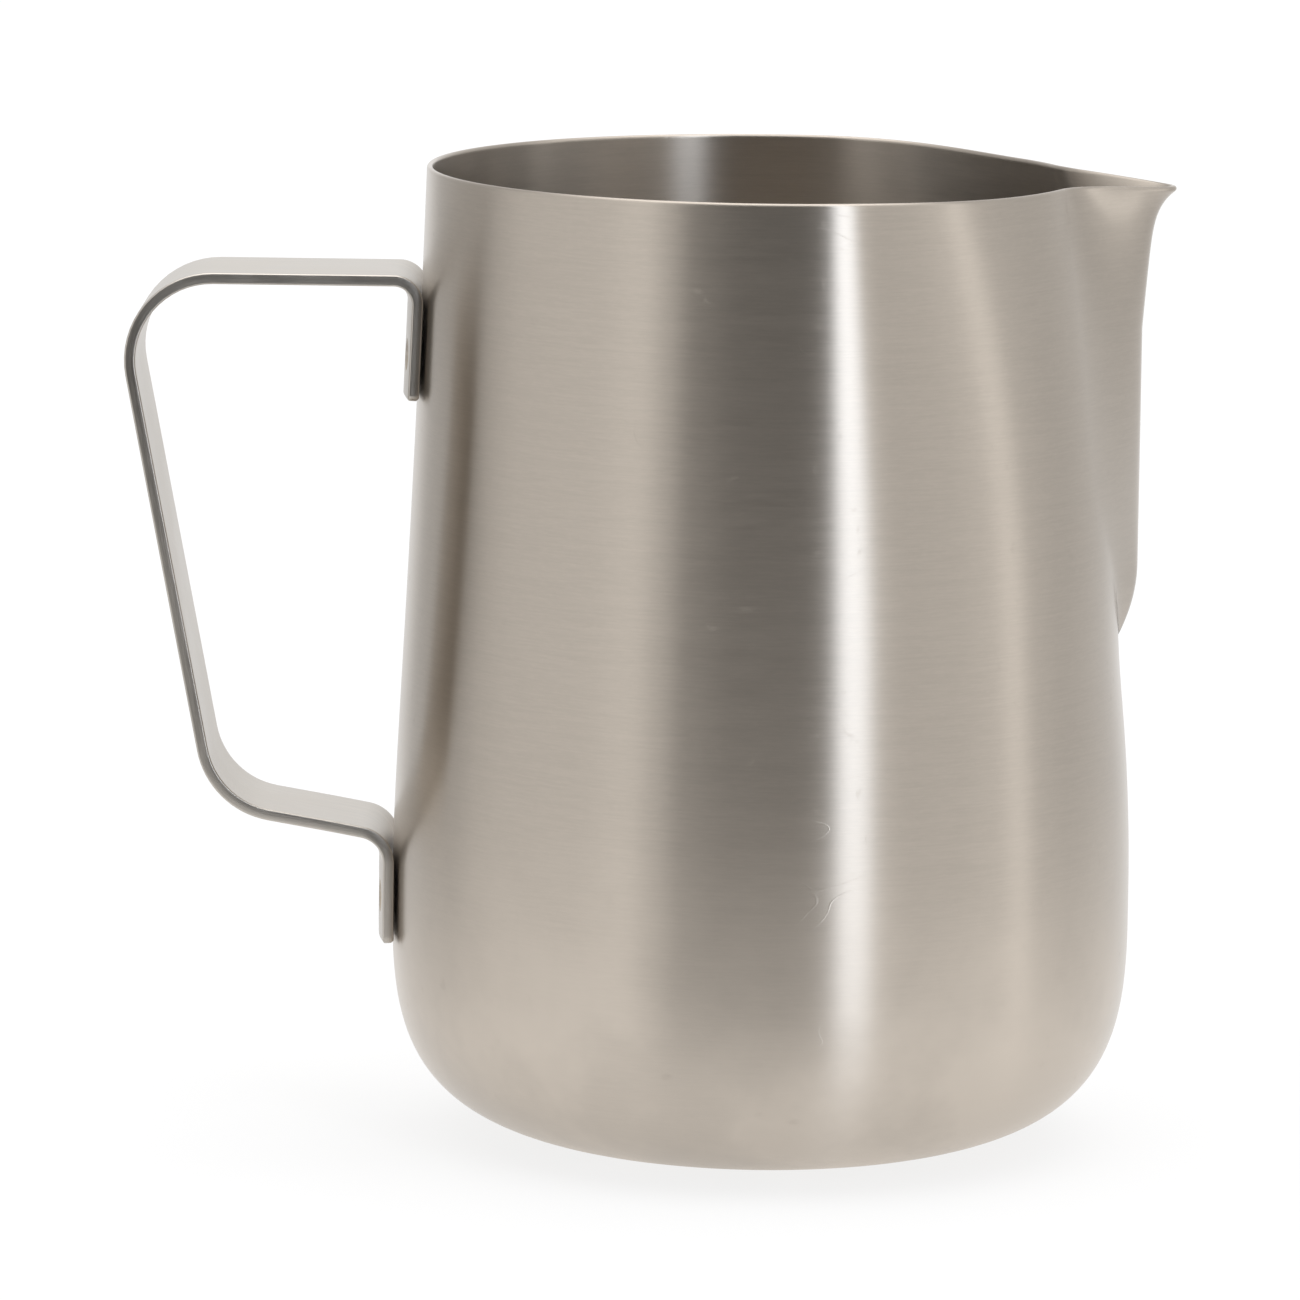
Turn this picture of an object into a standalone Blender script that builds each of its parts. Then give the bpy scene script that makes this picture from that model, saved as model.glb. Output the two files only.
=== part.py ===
"""Milk frothing pitcher: a deep-drawn steel jug with a pressed spout and a welded strap handle.

Frame: metres, +Z up, origin at the middle of the flat base, on the axis of the jug.
The spout points along +X and the handle stands on the -X side.
"""
import math

import bmesh
import bpy
import numpy as np
from mathutils import Matrix, Vector

MM = 0.001

# Jug body: all radii and heights are on the outer side.
JUG_HEIGHT = 114.0 * MM
RIM_RADIUS = 39.8 * MM
BELLY_RADIUS = 43.2 * MM
BELLY_HEIGHT = 30.8 * MM
BASE_RADIUS = 15.5 * MM
WALL = 0.7 * MM

# The wall's outline is two cubic curves, belly to rim and belly to base.
# Each size here is the length of one of their four handles.
RIM_LEAN = 0.031
RIM_HANDLE = 50.0 * MM
BELLY_HANDLE_UP = 13.0 * MM
BELLY_HANDLE_DOWN = 15.3 * MM
BASE_HANDLE = 29.0 * MM

# Spout: a pointed channel pressed out of the upper wall.
SPOUT_LENGTH = 54.3 * MM
SPOUT_DEPTH = 1.5 * MM
SPOUT_ONSET = 8.5 * MM
SPOUT_HALF_WIDTH = 13.5 * MM
SPOUT_POINT_LENGTH = 20.0 * MM
SPOUT_FLARE = 1.4 * MM
LIP_CURL = 2.5 * MM
LIP_LENGTH = 18.0 * MM
LIP_DROOP = 1.8 * MM
RIDGE_SOFTNESS = 0.16
FLANK_POWER = 1.6
ONSET_POWER = 2.0
POINT_POWER = 1.5
CURL_POWER = 8
# Drawing the spout out pulls the rim in and down on either side, and the wall in below its point.
FOOT_DIP = 0.6 * MM
FOOT_DIP_LENGTH = 11.0 * MM
FOOT_DIP_SPREAD = math.radians(24.0)
RIM_PULL = 3.7 * MM
RIM_DIP = 0.6 * MM
RIM_PULL_LENGTH = 54.0 * MM
RIM_PULL_ANGLE = math.radians(34.0)
RIM_PULL_SPREAD = math.radians(62.0)

# Handle: one flat strap, bent, with a tab at each end that lies along the wall.
STRAP_WIDTH = 17.0 * MM
STRAP_THICKNESS = 1.3 * MM
TAB_GAP = 0.3 * MM
RUN_TOP = 101.8 * MM
GRIP_REACH = 32.55 * MM
GRIP_LEAN = math.radians(10.9)
GRIP_BEND_RADIUS = 9.6 * MM
LOWER_RUN_HEIGHT = 35.9 * MM
LOWER_RUN_SLOPE = math.radians(10.5)
UPPER_TAB_BEND = 2.8 * MM
LOWER_TAB_BEND = 3.8 * MM
UPPER_TAB_LENGTH = 14.0 * MM
LOWER_TAB_LENGTH = 12.6 * MM
SADDLE_FADE = 12.0 * MM

# Resistance welds, two in each tab, each a round button in a round seat.
WELD_RADIUS = 2.0 * MM
WELD_GAP = 0.3 * MM
WELD_SPACING = 8.4 * MM
WELD_TO_TAB_END = 5.0 * MM

# How finely the shapes are stepped.
BODY_SEGMENTS = 64
SEGMENT_SLIDE = 0.55
LIP_ROWS = 8
CHANNEL_ROWS = 4
POINT_ROWS = 9
TAPER_ROWS = 4
CORNER_ROWS = 8
BASE_ROWS = 2
LIP_CROWDING = 1.5
POINT_CROWDING = 1.6
HALVINGS = 40
BEND_STEPS = 7
STRAIGHT_STEP = 4.0 * MM
WIDTH_STEPS = 6
WELD_SIDES = 32
CUTTER_LENGTH = 3 * STRAP_THICKNESS
MERGE_DISTANCE = 0.00001
SHARP_ANGLE = math.radians(40.0)

SPOUT_FOOT = JUG_HEIGHT - SPOUT_LENGTH
TAB_STANDOFF = TAB_GAP + STRAP_THICKNESS / 2


def clear_scene():
    """Remove what the file held before."""
    for leftover in list(bpy.data.objects):
        bpy.data.objects.remove(leftover)


def make_collection(name):
    """A new collection linked to the scene."""
    collection = bpy.data.collections.new(name)
    bpy.context.scene.collection.children.link(collection)
    return collection


def make_steel(name, colour, roughness):
    """A bare steel finish."""
    material = bpy.data.materials.new(name)
    material.use_nodes = True
    shader = material.node_tree.nodes["Principled BSDF"]
    shader.inputs["Base Color"].default_value = (*colour, 1.0)
    shader.inputs["Roughness"].default_value = roughness
    shader.inputs["Metallic"].default_value = 1.0
    material.diffuse_color = (*colour, 1.0)
    return material


def link_object(name, mesh, collection, material=None):
    """A new object for a mesh."""
    thing = bpy.data.objects.new(name, mesh)
    collection.objects.link(thing)
    if material:
        mesh.materials.clear()
        mesh.materials.append(material)
    return thing


def shade_round(mesh):
    """Smooth shading with crisp edges kept."""
    mesh.shade_smooth()
    mesh.set_sharp_from_angle(angle=SHARP_ANGLE)


def cubic(t, start, start_handle, end_handle, end):
    """Point at t on a cubic curve with two handles."""
    s = 1.0 - t
    return s**3 * start + 3 * s * s * t * start_handle + 3 * s * t * t * end_handle + t**3 * end


def upper_wall(t):
    """Radius and height on the wall from the belly, t = 0, to the rim, t = 1."""
    radius = cubic(t, BELLY_RADIUS, BELLY_RADIUS, RIM_RADIUS + RIM_LEAN * RIM_HANDLE, RIM_RADIUS)
    height = cubic(t, BELLY_HEIGHT, BELLY_HEIGHT + BELLY_HANDLE_UP, JUG_HEIGHT - RIM_HANDLE, JUG_HEIGHT)
    return radius, height


def lower_wall(t):
    """Radius and height on the corner from the belly, t = 0, to the flat base, t = 1."""
    radius = cubic(t, BELLY_RADIUS, BELLY_RADIUS, BASE_RADIUS + BASE_HANDLE, BASE_RADIUS)
    height = cubic(t, BELLY_HEIGHT, BELLY_HEIGHT - BELLY_HANDLE_DOWN, 0.0, 0.0)
    return radius, height


def wall_radius(height):
    """Outer radius of the turned wall at a height, found by halving the curve."""
    span = upper_wall if height > BELLY_HEIGHT else lower_wall
    low, high = 0.0, 1.0
    for _ in range(HALVINGS):
        middle = (low + high) / 2
        if abs(span(middle)[1] - BELLY_HEIGHT) < abs(height - BELLY_HEIGHT):
            low = middle
        else:
            high = middle
    return span(low)[0]


def wall_slope(height):
    """How far the wall leans out for each metre that it rises."""
    reach = 1.0 * MM
    return (wall_radius(height + reach) - wall_radius(height - reach)) / (2 * reach)


def row_heights():
    """Heights of the rows of faces, rim to belly: close together at the lip and the spout's point."""
    lip_end = JUG_HEIGHT - LIP_LENGTH
    point_end = SPOUT_FOOT + SPOUT_POINT_LENGTH
    lip = [JUG_HEIGHT - LIP_LENGTH * (row / LIP_ROWS) ** LIP_CROWDING for row in range(LIP_ROWS)]
    channel = list(np.linspace(lip_end, point_end, CHANNEL_ROWS, endpoint=False))
    shares = [(1 - row / POINT_ROWS) ** POINT_CROWDING for row in range(POINT_ROWS + 1)]
    point = [SPOUT_FOOT + SPOUT_POINT_LENGTH * share for share in shares]
    taper = list(np.linspace(SPOUT_FOOT, BELLY_HEIGHT, TAPER_ROWS + 1))[1:]
    return lip + channel + point + taper


def jug_outline():
    """Outline of the turned jug at +X, from the rim down to the middle of the base."""
    points = [(wall_radius(height), height) for height in row_heights()]
    points += [lower_wall(row / CORNER_ROWS) for row in range(1, CORNER_ROWS + 1)]
    points += [(BASE_RADIUS * (1 - row / BASE_ROWS), 0.0) for row in range(1, BASE_ROWS + 1)]
    return points


def turned_mesh(points, segments):
    """Turn an outline about Z with a Screw modifier and return the result as a mesh."""
    line = bpy.data.meshes.new("outline")
    edges = [(index, index + 1) for index in range(len(points) - 1)]
    line.from_pydata([(radius, 0.0, height) for radius, height in points], edges, [])
    blank = bpy.data.objects.new("outline", line)
    bpy.context.scene.collection.objects.link(blank)
    screw = blank.modifiers.new("turn", "SCREW")
    screw.axis = "Z"
    screw.steps = segments
    screw.render_steps = segments
    screw.use_merge_vertices = True
    screw.merge_threshold = MERGE_DISTANCE
    mesh = bpy.data.meshes.new_from_object(blank.evaluated_get(bpy.context.evaluated_depsgraph_get()))
    bpy.data.objects.remove(blank)
    return mesh


def channel_half_width(height):
    """Half width of the spout's channel: nought at its point, full above it."""
    rise = np.clip((height - SPOUT_FOOT) / SPOUT_POINT_LENGTH, 0.0, 1.0)
    return SPOUT_HALF_WIDTH * (1 - (1 - rise) ** POINT_POWER)


def ridge_distance(height):
    """Distance of the spout's ridge from the jug's axis at a height."""
    onset = np.clip((height - SPOUT_FOOT) / SPOUT_ONSET, 0.0, 1.0)
    lip = np.clip((height - JUG_HEIGHT + LIP_LENGTH) / LIP_LENGTH, 0.0, 1.0)
    straight = wall_radius(SPOUT_FOOT) + SPOUT_DEPTH * (1 - (1 - onset) ** ONSET_POWER)
    return straight + SPOUT_FLARE * lip + LIP_CURL * lip**CURL_POWER


def ridge_share(angle, reach):
    """Share of the ridge's standoff at an angle: one on the ridge, nought at the channel's foot."""
    across = np.clip(np.abs(angle) / reach, 0.0, 1.0)
    soft = np.sqrt(across**2 + RIDGE_SOFTNESS**2) - RIDGE_SOFTNESS
    full = math.sqrt(1 + RIDGE_SOFTNESS**2) - RIDGE_SOFTNESS
    return (1 - soft / full) ** FLANK_POWER


def draw_spout(mesh):
    """Move the turned jug's points outwards into the spout, and inwards beside it."""
    points = np.empty(len(mesh.vertices) * 3)
    mesh.vertices.foreach_get("co", points)
    points = points.reshape(-1, 3)
    radius = np.hypot(points[:, 0], points[:, 1])
    turn = np.arctan2(points[:, 1], points[:, 0])
    angle = turn - SEGMENT_SLIDE * np.sin(turn)
    height = points[:, 2].copy()
    above = height > SPOUT_FOOT + MERGE_DISTANCE
    ridge = np.array([ridge_distance(z) for z in height])
    reach = np.maximum(channel_half_width(height), MERGE_DISTANCE) / np.maximum(radius, RIM_RADIUS)
    share = ridge_share(angle, reach)
    lip = np.clip((height - JUG_HEIGHT + LIP_LENGTH) / LIP_LENGTH, 0.0, 1.0)
    fade = np.clip((height - JUG_HEIGHT + RIM_PULL_LENGTH) / RIM_PULL_LENGTH, 0.0, 1.0) ** 2
    aside = np.clip((np.abs(angle) - RIM_PULL_ANGLE) / RIM_PULL_SPREAD, 0.0, 1.0)
    beside = np.cos(aside * math.pi / 2) ** 2 * (1 - share)
    from_foot = ((height - SPOUT_FOOT) / FOOT_DIP_LENGTH) ** 2 + (angle / FOOT_DIP_SPREAD) ** 2
    dip = FOOT_DIP * np.exp(-from_foot)
    sides = radius - RIM_PULL * fade * beside - dip * (1 - share)
    moved = np.where(above, sides + (ridge - radius) * share, radius - dip)
    moved = np.where(radius > BASE_RADIUS + MERGE_DISTANCE, moved, radius)
    points[:, 0] = moved * np.cos(angle)
    points[:, 1] = moved * np.sin(angle)
    points[:, 2] = height - lip**2 * (LIP_DROOP * share + RIM_DIP * beside)
    mesh.vertices.foreach_set("co", points.ravel())
    mesh.update()


def make_body_shell(collection, material):
    """The jug: one turned sheet with its spout drawn out, thickened inwards."""
    mesh = turned_mesh(jug_outline(), BODY_SEGMENTS)
    draw_spout(mesh)
    shade_round(mesh)
    body = link_object("body_shell", mesh, collection, material)
    wall = body.modifiers.new("wall", "SOLIDIFY")
    wall.thickness = WALL
    wall.offset = -1.0
    wall.use_even_offset = True
    return body


def line_through(point, direction, other_point, other_direction):
    """Where two lines in a plane cross."""
    matrix = np.array([direction, (-other_direction[0], -other_direction[1])]).T
    along = np.linalg.solve(matrix, np.subtract(other_point, point))[0]
    return np.add(point, np.multiply(direction, along))


def strap_corners():
    """The strap's five straight stretches meet at these four corners, between its two ends.

    All are (x, z) points on the middle of the strap's thickness, from the upper tab's end
    over the top run, down the grip and along the lower run to the lower tab's end.
    """
    run_height = RUN_TOP - STRAP_THICKNESS / 2
    upper_end = run_height - UPPER_TAB_LENGTH
    upper_tab_x = -(wall_radius(run_height - UPPER_TAB_BEND) + TAB_STANDOFF)
    lower_tab_x = -(wall_radius(LOWER_RUN_HEIGHT - LOWER_TAB_BEND) + TAB_STANDOFF)
    lower_end = LOWER_RUN_HEIGHT - LOWER_TAB_LENGTH
    grip_top = (-(BELLY_RADIUS + GRIP_REACH), run_height)
    grip_way = (math.sin(GRIP_LEAN), -math.cos(GRIP_LEAN))
    lower_start = (lower_tab_x, LOWER_RUN_HEIGHT)
    lower_way = (-math.cos(LOWER_RUN_SLOPE), math.sin(LOWER_RUN_SLOPE))
    grip_bottom = line_through(grip_top, grip_way, lower_start, lower_way)
    return [
        (upper_tab_x, upper_end),
        (upper_tab_x, run_height),
        grip_top,
        tuple(grip_bottom),
        lower_start,
        (lower_tab_x, lower_end),
    ]


def straight_points(start, end):
    """Points along a straight stretch, close enough together to bend with the wall."""
    count = max(2, math.ceil(np.linalg.norm(end - start) / STRAIGHT_STEP))
    return [start + (end - start) * step / count for step in range(count + 1)]


def rounded_path(corners, radii):
    """A path of straight stretches joined by round bends of the given radii."""
    path = []
    start = np.array(corners[0])
    for index, radius in enumerate(radii, start=1):
        corner = np.array(corners[index])
        back = np.array(corners[index - 1]) - corner
        ahead = np.array(corners[index + 1]) - corner
        back /= np.linalg.norm(back)
        ahead /= np.linalg.norm(ahead)
        half = math.acos(np.clip(back @ ahead, -1.0, 1.0)) / 2
        tangent = radius / math.tan(half)
        centre = corner + (back + ahead) / np.linalg.norm(back + ahead) * radius / math.sin(half)
        path += straight_points(start, corner + back * tangent)[:-1]
        first = corner + back * tangent - centre
        last = corner + ahead * tangent - centre
        sweep = math.pi - 2 * half
        for step in range(BEND_STEPS):
            turn = sweep * step / BEND_STEPS
            blend = first * math.sin(sweep - turn) + last * math.sin(turn)
            path.append(centre + blend / math.sin(sweep))
        start = corner + ahead * tangent
    path += straight_points(start, np.array(corners[-1]))
    return np.array(path)


def distances_from_ends(path):
    """Distance of each point from the upper tab's end and from the lower tab's end."""
    steps = np.linalg.norm(np.diff(path, axis=0), axis=1)
    along = np.concatenate([[0.0], np.cumsum(steps)])
    return along, along[-1] - along


def hug_wall(path):
    """Lean the two straight tabs so that they keep their gap to the wall at every height."""
    from_upper, from_lower = distances_from_ends(path)
    on_upper = from_upper < UPPER_TAB_LENGTH - UPPER_TAB_BEND
    on_lower = from_lower < LOWER_TAB_LENGTH - LOWER_TAB_BEND
    for index in np.flatnonzero(on_upper | on_lower):
        path[index][0] = -(wall_radius(path[index][1]) + TAB_STANDOFF)
    return path


def saddle_weights(path):
    """How far each cross-section follows the wall's roundness: one at the tabs, nought on the grip."""
    from_upper, from_lower = distances_from_ends(path)
    past_upper = from_upper - UPPER_TAB_LENGTH - UPPER_TAB_BEND
    past_lower = from_lower - LOWER_TAB_LENGTH - LOWER_TAB_BEND
    ease = np.clip(np.minimum(past_upper, past_lower) / SADDLE_FADE, 0.0, 1.0)
    return 1.0 - ease * ease * (3 - 2 * ease)


def make_handle_strap(collection, material):
    """The handle: a flat grid laid along the bent path, curved at its tabs, then thickened."""
    radii = (UPPER_TAB_BEND, GRIP_BEND_RADIUS, GRIP_BEND_RADIUS, LOWER_TAB_BEND)
    path = hug_wall(rounded_path(strap_corners(), radii))
    weights = saddle_weights(path)
    tab_radius = np.where(np.arange(len(path)) < len(path) // 2, -path[0][0], -path[-1][0])
    net = bmesh.new()
    bmesh.ops.create_grid(net, x_segments=len(path) - 1, y_segments=WIDTH_STEPS, size=0.5)
    for vertex in net.verts:
        index = round((vertex.co.x + 0.5) * (len(path) - 1))
        across = vertex.co.y * STRAP_WIDTH
        sag = tab_radius[index] - math.sqrt(tab_radius[index] ** 2 - across**2)
        vertex.co = Vector((path[index][0] + weights[index] * sag, across, path[index][1]))
    mesh = bpy.data.meshes.new("handle_strap")
    bmesh.ops.recalc_face_normals(net, faces=net.faces)
    net.to_mesh(mesh)
    net.free()
    shade_round(mesh)
    strap = link_object("handle_strap", mesh, collection, material)
    sheet = strap.modifiers.new("sheet", "SOLIDIFY")
    sheet.thickness = STRAP_THICKNESS
    sheet.offset = 0.0
    sheet.use_even_offset = True
    return strap


def weld_matrix(height, side):
    """Place of a weld: its Z axis stands square to the wall, in the middle of the tab's thickness."""
    distance = wall_radius(height) + TAB_STANDOFF
    angle = math.pi - side * math.asin(WELD_SPACING / 2 / distance)
    lean = math.atan(wall_slope(height))
    spot = Vector((distance * math.cos(angle), distance * math.sin(angle), height))
    upright = Matrix.Rotation(math.pi / 2 + lean, 4, "Y")
    return Matrix.Translation(spot) @ Matrix.Rotation(angle, 4, "Z") @ upright


def round_bar(name, radius, length, matrix, collection, material=None):
    """A round bar centred on its matrix."""
    net = bmesh.new()
    bmesh.ops.create_cone(
        net, cap_ends=True, segments=WELD_SIDES, radius1=radius, radius2=radius, depth=length
    )
    mesh = bpy.data.meshes.new(name)
    net.to_mesh(mesh)
    net.free()
    shade_round(mesh)
    bar = link_object(name, mesh, collection, material)
    bar.matrix_world = matrix
    return bar


def make_welds(strap, collection, cutters, material):
    """Four weld buttons, and the round seats that they take in the strap's tabs."""
    upper_end = RUN_TOP - STRAP_THICKNESS / 2 - UPPER_TAB_LENGTH
    lower_end = LOWER_RUN_HEIGHT - LOWER_TAB_LENGTH
    for tab, tab_end in (("upper", upper_end), ("lower", lower_end)):
        for hand, side in (("left", 1), ("right", -1)):
            name = f"{tab}_weld_{hand}"
            matrix = weld_matrix(tab_end + WELD_TO_TAB_END, side)
            round_bar(name, WELD_RADIUS, STRAP_THICKNESS, matrix, collection, material)
            cutter = round_bar(f"cut_{name}", WELD_RADIUS + WELD_GAP, CUTTER_LENGTH, matrix, cutters)
            cutter.hide_render = True
            cutter.display_type = "WIRE"
            seat = strap.modifiers.new(f"seat_{name}", "BOOLEAN")
            seat.operation = "DIFFERENCE"
            seat.solver = "EXACT"
            seat.object = cutter


def main():
    """Build the whole pitcher."""
    clear_scene()
    parts = make_collection("milk_frothing_pitcher")
    cutters = make_collection("cutters")
    body_steel = make_steel("brushed_body_steel", (0.47, 0.44, 0.40), 0.32)
    strap_steel = make_steel("satin_strap_steel", (0.52, 0.50, 0.47), 0.28)
    weld_steel = make_steel("weld_steel", (0.36, 0.33, 0.30), 0.45)
    make_body_shell(parts, body_steel)
    strap = make_handle_strap(parts, strap_steel)
    make_welds(strap, parts, cutters, weld_steel)


main()
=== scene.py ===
"""Milk frothing pitcher, finished: a brushed steel jug with a drawn spout and a bent strap handle.

Frame: metres, +Z up, origin at the middle of the base. The spout points along +X, the handle along -X.
"""

import math

import bpy
import numpy as np
from bpy.props import FloatProperty, FloatVectorProperty, PointerProperty
from mathutils import Matrix, Vector


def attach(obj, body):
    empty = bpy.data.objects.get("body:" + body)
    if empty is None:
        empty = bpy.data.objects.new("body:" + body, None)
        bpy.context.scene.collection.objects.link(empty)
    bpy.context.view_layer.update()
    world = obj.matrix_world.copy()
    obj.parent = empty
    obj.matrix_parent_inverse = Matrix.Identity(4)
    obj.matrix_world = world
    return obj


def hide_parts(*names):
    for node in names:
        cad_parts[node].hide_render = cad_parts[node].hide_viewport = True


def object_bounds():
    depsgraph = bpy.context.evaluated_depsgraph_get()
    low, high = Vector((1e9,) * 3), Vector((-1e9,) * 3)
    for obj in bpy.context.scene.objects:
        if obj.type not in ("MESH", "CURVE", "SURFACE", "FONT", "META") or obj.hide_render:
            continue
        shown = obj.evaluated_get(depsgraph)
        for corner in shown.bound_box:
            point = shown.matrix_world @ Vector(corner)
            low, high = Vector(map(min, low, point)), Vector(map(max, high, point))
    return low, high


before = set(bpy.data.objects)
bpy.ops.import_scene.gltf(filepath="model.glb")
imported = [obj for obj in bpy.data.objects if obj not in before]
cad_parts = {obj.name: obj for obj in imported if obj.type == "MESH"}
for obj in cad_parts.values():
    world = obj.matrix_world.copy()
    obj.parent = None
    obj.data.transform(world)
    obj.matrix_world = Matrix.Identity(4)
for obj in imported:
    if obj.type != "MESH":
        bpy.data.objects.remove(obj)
CAD_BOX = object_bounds()

bl_info = {
    "name": "Milk frothing pitcher",
    "version": (1, 0, 0),
    "blender": (4, 5, 0),
    "location": "View3D > Sidebar > Pitcher",
    "description": "Builds a brushed steel milk frothing pitcher and a plain studio for it",
    "category": "Add Mesh",
}

MM = 0.001
JUG_TOP = float(CAD_BOX[1][2])

# The turned wall is two cubic curves that meet upright at the belly.
BELLY_RADIUS = 43.2 * MM
BELLY_HEIGHT = 30.8 * MM
RIM_LEAN = 0.031
RIM_HANDLE = 50.0 * MM
BELLY_HANDLE_UP = 13.0 * MM
BELLY_HANDLE_DOWN = 15.3 * MM
BASE_RADIUS = 15.5 * MM
BASE_HANDLE = 29.0 * MM

# The spout's channel, its point and its lip.
SPOUT_ONSET = 8.5 * MM
SPOUT_POINT_LENGTH = 20.0 * MM
LIP_LENGTH = 18.0 * MM
RIDGE_SOFTNESS = 0.16
CREASE_POWER = 1.25
BLEND_POWER = 2.05
ONSET_POWER = 2.0
POINT_POWER = 1.5
CURL_POWER = 8
FOOT_DIP_LENGTH = 11.0 * MM
FOOT_DIP_SPREAD = math.radians(24.0)
RIM_PULL_LENGTH = 54.0 * MM
RIM_PULL_ANGLE = math.radians(34.0)
RIM_PULL_SPREAD = math.radians(47.0)

# The strap's bends and the lay of its tabs.
TAB_GAP = 0.3 * MM
GRIP_REACH = 32.55 * MM
GRIP_LEAN = math.radians(10.9)
GRIP_BEND_RADIUS = 9.6 * MM
LOWER_RUN_SLOPE = math.radians(10.5)
UPPER_TAB_BEND = 2.8 * MM
LOWER_TAB_BEND = 3.8 * MM
UPPER_TAB_LENGTH = 14.0 * MM
LOWER_TAB_LENGTH = 12.6 * MM
SADDLE_FADE = 12.0 * MM
WELD_SPACING = 8.4 * MM
WELD_TO_TAB_END = 5.0 * MM

# A weld's mark: the bowl it presses in the tab, its raised ring and its sunk back.
PRESS_SPREAD = 1.15
PRESS_REACH = 2.0 * MM
RING_RISE = 0.06 * MM
RING_PLACE = 0.8
RING_SPREAD = 0.13
BOWL_DEPTH = 0.05 * MM
SKIRT = 0.35 * MM

# How finely the surfaces are stepped.
AROUND = 256
SPOUT_CROWDING = 0.7
LIP_ROWS = 28
CHANNEL_ROWS = 10
POINT_ROWS = 34
TAPER_ROWS = 14
CORNER_ROWS = 40
BASE_ROWS = 5
RIM_ROWS = 7
CURVE_SAMPLES = 4001
POINT_ROW_POWER = 1.6
LIP_ROW_POWER = 1.5
STRAIGHT_STEPS = (0.35 * MM, 1.2 * MM, 1.6 * MM, 1.2 * MM, 0.35 * MM)
BEND_STEPS = 16
EDGE_STEPS = 5
FACE_STEPS = 44
DISC_SIDES = 48
DISC_ROWS = 14


# ---------------------------------------------------------------- settings


class JugSettings(bpy.types.PropertyGroup):
    """Sizes of the jug that a maker would change."""

    height: FloatProperty(name="Height", description="Base to rim", default=JUG_TOP, unit="LENGTH")
    rim_radius: FloatProperty(
        name="Rim radius",
        description="Outer radius of the round part of the rim",
        default=39.8 * MM,
        unit="LENGTH",
    )
    wall: FloatProperty(name="Wall", description="Thickness of the sheet", default=0.7 * MM, unit="LENGTH")
    spout_length: FloatProperty(
        name="Spout length", description="Rim to the spout's point", default=54.3 * MM, unit="LENGTH"
    )
    spout_half_width: FloatProperty(
        name="Spout half width",
        description="Half the channel's width at the rim",
        default=15.7 * MM,
        unit="LENGTH",
    )
    spout_depth: FloatProperty(
        name="Spout depth",
        description="How far the ridge stands out above its point",
        default=1.5 * MM,
        unit="LENGTH",
    )
    lip_flare: FloatProperty(
        name="Lip flare",
        description="How far the ridge leans out at the lip",
        default=1.4 * MM,
        unit="LENGTH",
    )
    lip_curl: FloatProperty(
        name="Lip curl", description="How far the lip's edge curls out", default=2.5 * MM, unit="LENGTH"
    )
    lip_droop: FloatProperty(
        name="Lip droop", description="How far the lip's tip drops", default=1.8 * MM, unit="LENGTH"
    )
    rim_pull: FloatProperty(
        name="Rim pull",
        description="How far the rim is drawn in beside the spout",
        default=3.4 * MM,
        unit="LENGTH",
    )
    rim_dip: FloatProperty(
        name="Rim dip", description="How far the rim drops beside the spout", default=0.6 * MM, unit="LENGTH"
    )
    foot_dip: FloatProperty(
        name="Foot dip",
        description="How far the wall is drawn in at the spout's point",
        default=0.6 * MM,
        unit="LENGTH",
    )


class StrapSettings(bpy.types.PropertyGroup):
    """Sizes of the handle's strap and its welds."""

    width: FloatProperty(name="Width", description="Width of the strap", default=17.0 * MM, unit="LENGTH")
    thickness: FloatProperty(
        name="Thickness", description="Thickness of the strap", default=1.3 * MM, unit="LENGTH"
    )
    edge_radius: FloatProperty(
        name="Edge radius", description="Rounding of the strap's long edges", default=0.22 * MM, unit="LENGTH"
    )
    corner_radius: FloatProperty(
        name="Corner radius", description="Rounding of the tabs' corners", default=0.6 * MM, unit="LENGTH"
    )
    run_top: FloatProperty(
        name="Run top", description="Height of the top run's upper face", default=101.8 * MM, unit="LENGTH"
    )
    lower_run_height: FloatProperty(
        name="Lower run height",
        description="Height where the lower run meets its tab",
        default=35.9 * MM,
        unit="LENGTH",
    )
    weld_radius: FloatProperty(
        name="Weld radius", description="Radius of a weld's mark", default=2.0 * MM, unit="LENGTH"
    )
    weld_depth: FloatProperty(
        name="Weld depth",
        description="How deep a weld's mark is pressed in",
        default=0.16 * MM,
        unit="LENGTH",
    )


class FinishSettings(bpy.types.PropertyGroup):
    """Colours of the steel."""

    jug_colour: FloatVectorProperty(
        name="Jug steel",
        description="Colour of the brushed jug",
        default=(0.47, 0.42, 0.365),
        subtype="COLOR",
        size=3,
    )
    strap_colour: FloatVectorProperty(
        name="Strap steel",
        description="Colour of the strap",
        default=(0.50, 0.465, 0.42),
        subtype="COLOR",
        size=3,
    )
    weld_colour: FloatVectorProperty(
        name="Weld steel",
        description="Colour of the welds",
        default=(0.42, 0.37, 0.32),
        subtype="COLOR",
        size=3,
    )
    tint_colour: FloatVectorProperty(
        name="Heat tint",
        description="Straw tint round a weld",
        default=(0.50, 0.38, 0.22),
        subtype="COLOR",
        size=3,
    )


class StudioSettings(bpy.types.PropertyGroup):
    """The plain studio round the pitcher."""

    floor_colour: FloatVectorProperty(
        name="Floor",
        description="Colour of the pale floor",
        default=(0.17, 0.17, 0.17),
        subtype="COLOR",
        size=3,
    )
    light: FloatProperty(name="Light", description="Strength of the studio's light", default=1.0, min=0.0)


# ---------------------------------------------------------------- curves and grids


def cubic(t, start, start_handle, end_handle, end):
    """Cubic curve: the four numbers weighted by s cubed, 3 s s t, 3 s t t and t cubed, with s = 1 - t."""
    s = 1.0 - t
    return s**3 * start + 3 * s * s * t * start_handle + 3 * s * t * t * end_handle + t**3 * end


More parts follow.
